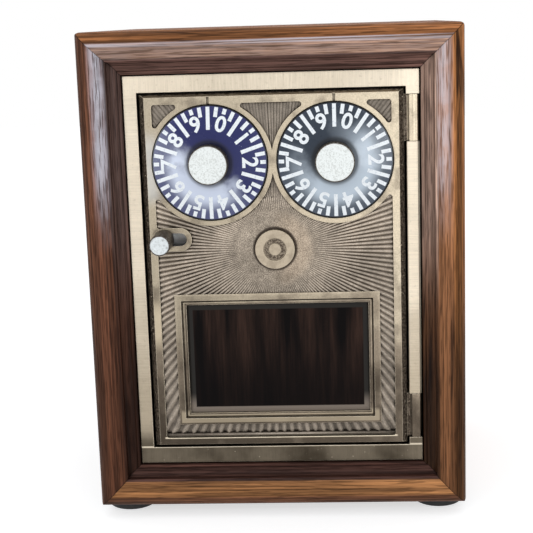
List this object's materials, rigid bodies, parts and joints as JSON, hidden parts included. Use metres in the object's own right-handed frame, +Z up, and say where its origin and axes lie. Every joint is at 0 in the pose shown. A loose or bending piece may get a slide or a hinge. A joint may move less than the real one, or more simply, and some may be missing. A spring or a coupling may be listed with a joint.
{
  "type": "combination post office box door in a wooden box",
  "caption": "Small walnut box whose front is a cast brass post office box door with combination dials, a sliding latch and a bevelled glass window.",
  "frame": {"origin": "centre of the bounding box's bottom, level with the underside of the rubber feet", "axes": "+Z up, -Y out of the front through the dials, +X towards the hinge side (right, seen from the front)"},
  "size_m": [0.1156, 0.1088, 0.1524],
  "materials": {
    "walnut": "satin",
    "back_wood": "satin",
    "steel": "satin",
    "black_rubber": "matte",
    "frame_brass": "brushed",
    "door_brass": "cast, aged",
    "knob_brass": "satin",
    "sheet_brass": "satin",
    "nickel": "worn satin",
    "clear_glass": "clear, bevelled",
    "fibre": "matte",
    "left_enamel": "gloss enamel",
    "right_enamel": "gloss enamel"
  },
  "bodies": {
    "cabinet": {"top_board": "walnut", "bottom_board": "walnut", "left_board": "walnut", "right_board": "walnut", "back_panel": "back_wood", "back_panel_screws": "steel", "feet": "black_rubber", "foot_screws": "steel", "door_frame": "frame_brass", "frame_screws": "steel", "hinge_pin": "steel"},
    "door": {"door_plate": "door_brass", "window_glass": "clear_glass", "glass_retainer": "sheet_brass", "retainer_screws": "steel", "lock_case": "sheet_brass", "lock_case_screws": "steel", "centre_stud": "knob_brass", "stud_nut": "steel", "bolt_guide_screws": "steel", "bolt_spring": "steel", "left_friction_washer": "fibre", "right_friction_washer": "fibre"},
    "left_dial": {"left_dial_disc": "left_enamel", "left_dial_knob": "nickel", "left_spindle": "knob_brass", "left_tumbler_wheel": "sheet_brass", "left_wheel_nut": "steel"},
    "right_dial": {"right_dial_disc": "right_enamel", "right_dial_knob": "nickel", "right_spindle": "knob_brass", "right_tumbler_wheel": "sheet_brass", "right_wheel_nut": "steel"},
    "latch": {"latch_knob": "nickel", "bolt_plate": "sheet_brass"}
  },
  "joints": [
    {"name": "door_hinge", "type": "hinge", "parent": "cabinet", "child": "door", "pos_m": [0.04265, -0.042, 0.078], "axis": [0, 0, 1], "range_deg": [0, 110]},
    {"name": "left_dial_turn", "type": "hinge", "parent": "door", "child": "left_dial", "pos_m": [-0.019, -0.0434, 0.1123], "axis": [0, -1, 0], "continuous": true},
    {"name": "right_dial_turn", "type": "hinge", "parent": "door", "child": "right_dial", "pos_m": [0.019, -0.0434, 0.1123], "axis": [0, -1, 0], "continuous": true},
    {"name": "latch_slide", "type": "slide", "parent": "door", "child": "latch", "axis": [1, 0, 0], "range_m": [0, 0.005], "stiffness_N_per_m": 300, "springref_m": -0.004, "deforming": ["bolt_spring"]}
  ]
}
